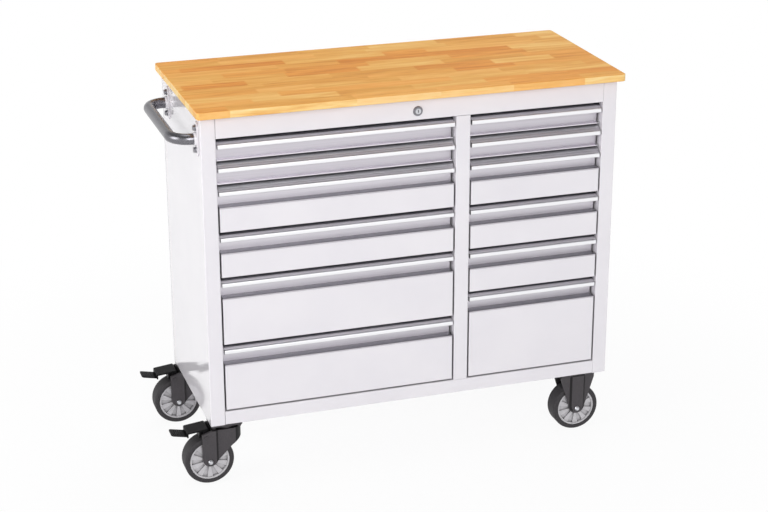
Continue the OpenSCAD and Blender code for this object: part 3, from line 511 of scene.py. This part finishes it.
def makeGripTree():
    tree, source, keys = startTree("gripRibs", {
        "First": "NodeSocketVector", "Step": "NodeSocketVector", "Count": "NodeSocketInt",
        "Half length": "NodeSocketVector", "Radius": "NodeSocketFloat"})
    row = addNode(tree, "GeometryNodeMeshLine", {
        "Count": source["Count"], "Start Location": source["First"], "Offset": source["Step"]}, mode="OFFSET")
    start = addNode(tree, "ShaderNodeVectorMath", {
        0: source["Half length"], "Scale": -1.0}, operation="SCALE")
    spine = addNode(tree, "GeometryNodeCurvePrimitiveLine", {
        "Start": start.outputs["Vector"], "End": source["Half length"]})
    ring = addNode(tree, "GeometryNodeCurvePrimitiveCircle", {
        "Resolution": grip["ringPoints"], "Radius": source["Radius"]})
    rib = addNode(tree, "GeometryNodeCurveToMesh", {
        "Curve": spine.outputs["Curve"], "Profile Curve": ring.outputs["Curve"], "Fill Caps": True})
    endTree(tree, row.outputs["Mesh"], rib.outputs["Mesh"], "blackNylon")
    return tree, keys


def makeGrips():
    tree, keys = makeGripTree()
    down = Vector((0, 0, -1))
    for end in ("front", "rear"):
        mesh = nodes["brake_pedal_" + end].data
        surface = BVHTree.FromPolygons([v.co for v in mesh.vertices], [f.vertices[:] for f in mesh.polygons])
        low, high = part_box("brake_pedal_" + end)
        spots = []
        for k in (0, grip["count"] - 1):
            along = low.x + (grip["tipMm"] + k * grip["pitchMm"]) * mm
            above = Vector((along, (low.y + high.y) / 2, high.z + grip["castFromMm"] * mm))
            spots.append(surface.ray_cast(above, down)[0] + down * grip["sunkMm"] * mm)
        growPiece("pedal_" + end + "_grip", tree, keys, {
            "First": spots[0], "Step": (spots[1] - spots[0]) / (grip["count"] - 1), "Count": grip["count"],
            "Half length": (0, grip["lengthMm"] / 2 * mm, 0), "Radius": grip["radiusMm"] * mm},
            "pedal_" + end)


makeRivets()
makeGrips()
print("rivets and grip ribs grown")

# The camera stands where the photograph's did; angles are in radians
camera = {"place": (-1.3718, -4.2999, 2.1830), "turn": 0.3156, "tilt": 0.3620, "roll": -0.0023,
          "lensMm": 87.5, "sensorMm": 36.0}


def setCamera():
    data = bpy.data.cameras.new("camera")
    data.lens = camera["lensMm"]
    data.sensor_width = camera["sensorMm"]
    data.sensor_fit = "HORIZONTAL"
    item = bpy.data.objects.new("camera", data)
    scene.collection.objects.link(item)
    aim = (Matrix.Rotation(-camera["turn"], 4, "Z") @ Matrix.Rotation(math.pi / 2 - camera["tilt"], 4, "X")
           @ Matrix.Rotation(camera["roll"], 4, "Z"))
    item.matrix_world = Matrix.Translation(camera["place"]) @ aim
    scene.camera = item


# Soft boxes: a large one in front and above, one at the left, weak ones over the top and behind.
# The room is white round the horizon and darker overhead, as a studio's ceiling is.
softBoxes = {
    "front": {"place": (-0.8, -5.6, 3.0), "size": 2.8, "watts": 150, "mirrored": True},
    "left": {"place": (-4.4, -0.8, 2.2), "size": 2.4, "watts": 80, "mirrored": True},
    "top": {"place": (0.2, 0.4, 4.0), "size": 2.5, "watts": 31, "mirrored": True},
    "rear": {"place": (2.8, 3.9, 1.8), "size": 2.4, "watts": 60, "mirrored": False},  # no glare on the board
}
surround = {"aim": (0.0, 0.0, 0.5), "fill": 0.37, "horizon": (0.15, 1.0), "overhead": (0.7, 0.3),
            "floor": "#f4f4f6", "floorHalf": 30.0, "glowNear": (0.7, 0.92), "glowFar": (1.7, 1.0)}
white = (1, 1, 1, 1)


# What the eye sees straight, in a mirror or through glass, but not what lights the object
def seenRays(tree):
    ray = addNode(tree, "ShaderNodeLightPath").outputs
    direct = addNode(tree, "ShaderNodeMath", {
        0: ray["Is Camera Ray"], 1: ray["Is Glossy Ray"]}, operation="MAXIMUM")
    seen = addNode(tree, "ShaderNodeMath", {
        0: direct.outputs["Value"], 1: ray["Is Transmission Ray"]}, operation="MAXIMUM")
    return seen.outputs["Value"]


def setLight():
    for name, box in softBoxes.items():
        data = bpy.data.lights.new(name + "_soft_box", "AREA")
        data.energy = box["watts"]
        data.size = box["size"]
        item = bpy.data.objects.new(name + "_soft_box", data)
        scene.collection.objects.link(item)
        place = Vector(box["place"])
        aim = (Vector(surround["aim"]) - place).to_track_quat("-Z", "Y")
        item.matrix_world = Matrix.LocRotScale(place, aim, None)
        item.visible_glossy = box["mirrored"]
    world = bpy.data.worlds.new("studio")
    scene.world = world
    world.use_nodes = True
    tree = world.node_tree
    tree.nodes.clear()
    direction = addNode(tree, "ShaderNodeTexCoord").outputs["Generated"]
    height = addNode(tree, "ShaderNodeSeparateXYZ", {"Vector": direction})
    (low, lowLevel), (high, highLevel) = surround["horizon"], surround["overhead"]
    level = addNode(tree, "ShaderNodeMapRange", {
        "Value": height.outputs["Z"], "From Min": low, "From Max": high,
        "To Min": lowLevel, "To Max": highLevel})
    fill = addNode(tree, "ShaderNodeBackground", {"Color": white, "Strength": surround["fill"]})
    room = addNode(tree, "ShaderNodeBackground", {"Color": white, "Strength": level.outputs["Result"]})
    mix = addNode(tree, "ShaderNodeMixShader", {
        0: seenRays(tree), 1: fill.outputs["Background"], 2: room.outputs["Background"]})
    addNode(tree, "ShaderNodeOutputWorld", {"Surface": mix.outputs["Shader"]})


# Matt pale floor that keeps the cabinet's soft shadow and runs out to white
def setFloor():
    mesh = bpy.data.meshes.new("floor")
    half = surround["floorHalf"]
    corners = [(-half, -half, 0), (half, -half, 0), (half, half, 0), (-half, half, 0)]
    mesh.from_pydata(corners, [], [(0, 1, 2, 3)])
    item = bpy.data.objects.new("floor", mesh)
    scene.collection.objects.link(item)
    material = bpy.data.materials.new("paleStudioFloor")
    material.use_nodes = True
    tree = material.node_tree
    tree.nodes.clear()
    place = addNode(tree, "ShaderNodeTexCoord").outputs["Object"]
    reach = addNode(tree, "ShaderNodeVectorMath", {0: place}, operation="LENGTH")
    (near, nearGlow), (far, farGlow) = surround["glowNear"], surround["glowFar"]
    share = addNode(tree, "ShaderNodeMapRange", {
        "Value": reach.outputs["Value"], "From Min": near, "From Max": far,
        "To Min": nearGlow, "To Max": farGlow}, interpolation_type="SMOOTHSTEP")
    glow = addNode(tree, "ShaderNodeMath", {
        0: seenRays(tree), 1: share.outputs["Result"]}, operation="MULTIPLY")
    matt = addNode(tree, "ShaderNodeBsdfDiffuse", {"Color": hexColor(surround["floor"])})
    shine = addNode(tree, "ShaderNodeEmission", {"Color": white, "Strength": 1.0})
    mix = addNode(tree, "ShaderNodeMixShader", {
        0: glow.outputs["Value"], 1: matt.outputs["BSDF"], 2: shine.outputs["Emission"]})
    addNode(tree, "ShaderNodeOutputMaterial", {"Surface": mix.outputs["Shader"]})
    mesh.materials.append(material)


setCamera()
setLight()
setFloor()
scene.view_settings.view_transform = "Standard"
print("camera, light and floor set")
